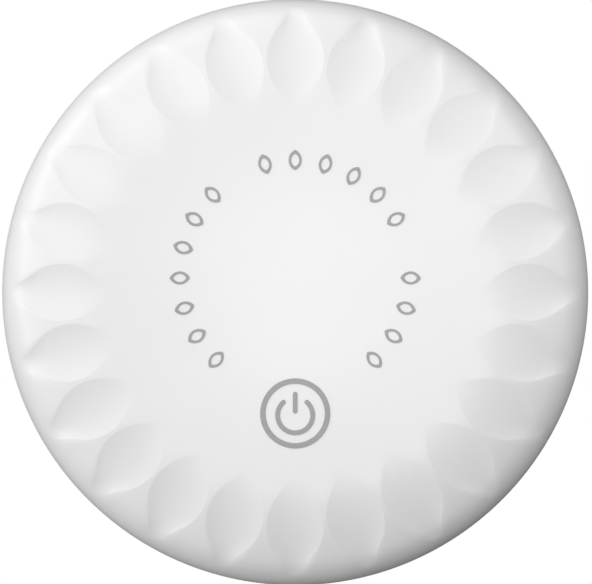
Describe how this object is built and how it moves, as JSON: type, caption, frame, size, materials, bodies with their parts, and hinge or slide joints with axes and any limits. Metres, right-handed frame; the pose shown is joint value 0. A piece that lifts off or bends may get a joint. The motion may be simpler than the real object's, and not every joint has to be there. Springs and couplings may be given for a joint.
{
  "type": "bluetooth tracker tag",
  "caption": "Round white tracker tag with a scooped shoulder, a floating push cover marked with a standby symbol, and a clip-fitted rear cover over a coin cell.",
  "frame": {"origin": "centre of the flat rear face, on the surface that the tag lies on", "axes": "+Z out of the front face, +Y towards 12 o'clock, with the standby symbol on the -Y side, +X to the right seen from the front"},
  "size_m": [0.032, 0.032, 0.008],
  "materials": {
    "cover_plastic": "satin",
    "print_ink": "matte",
    "frame_plastic": "matte",
    "seal_silicone": "satin",
    "ring_silicone": "matte",
    "cushion_foam": "matte",
    "board_laminate": "satin",
    "chip_epoxy": "matte",
    "crystal_can": "satin",
    "antenna_ceramic": "satin",
    "inductor_ferrite": "matte",
    "capacitor_body": "satin",
    "resistor_body": "satin",
    "pad_gold": "satin",
    "switch_plastic": "matte",
    "switch_metal": "satin",
    "plunger_plastic": "satin",
    "contact_steel": "satin",
    "insulator_film": "gloss",
    "spring_gold": "polished",
    "glue_tape": "matte",
    "buzzer_brass": "satin",
    "buzzer_ceramic": "matte",
    "cell_steel": "satin",
    "cell_cap_steel": "satin",
    "cell_gasket": "satin",
    "cell_cathode": "matte",
    "cell_anode": "satin"
  },
  "bodies": {
    "rear_shell": {"rear_cover": "cover_plastic", "battery_cushion": "cushion_foam"},
    "chassis": {"mid_frame": "frame_plastic", "rear_seal": "seal_silicone", "key_return_ring": "ring_silicone", "circuit_board": "board_laminate", "radio_chip": "chip_epoxy", "main_crystal": "crystal_can", "clock_crystal": "crystal_can", "chip_antenna": "antenna_ceramic", "motion_sensor": "chip_epoxy", "buzzer_driver": "chip_epoxy", "boost_inductor": "inductor_ferrite", "chip_capacitors": "capacitor_body", "chip_resistors": "resistor_body", "test_pads": "pad_gold", "switch_base": "switch_plastic", "switch_terminals": "switch_metal", "switch_dome": "switch_metal", "switch_cover": "switch_metal", "positive_contact": "contact_steel", "negative_contact": "contact_steel", "insulator_film": "insulator_film", "buzzer_spring_inner": "spring_gold", "buzzer_spring_outer": "spring_gold"},
    "front_key": {"front_cover": "cover_plastic", "power_symbol_print": "print_ink", "ring_marks_print": "print_ink", "buzzer_adhesive": "glue_tape", "buzzer_plate": "buzzer_brass", "buzzer_ceramic": "buzzer_ceramic"},
    "switch_button": {"switch_plunger": "plunger_plastic"},
    "coin_cell": {"cell_can": "cell_steel", "cell_gasket": "cell_gasket", "cell_cap": "cell_cap_steel", "cell_cathode": "cell_cathode", "cell_anode": "cell_anode"}
  },
  "joints": [
    {"name": "case_open", "type": "slide", "parent": "rear_shell", "child": "chassis", "axis": [0, 0, 1], "range_m": [0, 0.012]},
    {"name": "cover_press", "type": "slide", "parent": "chassis", "child": "front_key", "axis": [0, 0, -1], "range_m": [0, 0.0002], "stiffness_N_per_m": 3000, "springref_m": -0.0004, "deforming": ["key_return_ring", "switch_dome", "buzzer_spring_inner", "buzzer_spring_outer"]},
    {"name": "switch_press", "type": "slide", "parent": "chassis", "child": "switch_button", "axis": [0, 0, -1], "range_m": [0, 0.0002]},
    {"name": "cell_lift", "type": "slide", "parent": "rear_shell", "child": "coin_cell", "axis": [0, 0, 1], "range_m": [0, 0.006]}
  ],
  "couplings": [
    {"joint": "switch_press", "follows": "cover_press", "ratio": 1},
    {"joint": "cell_lift", "follows": "case_open", "ratio": 0.5}
  ]
}
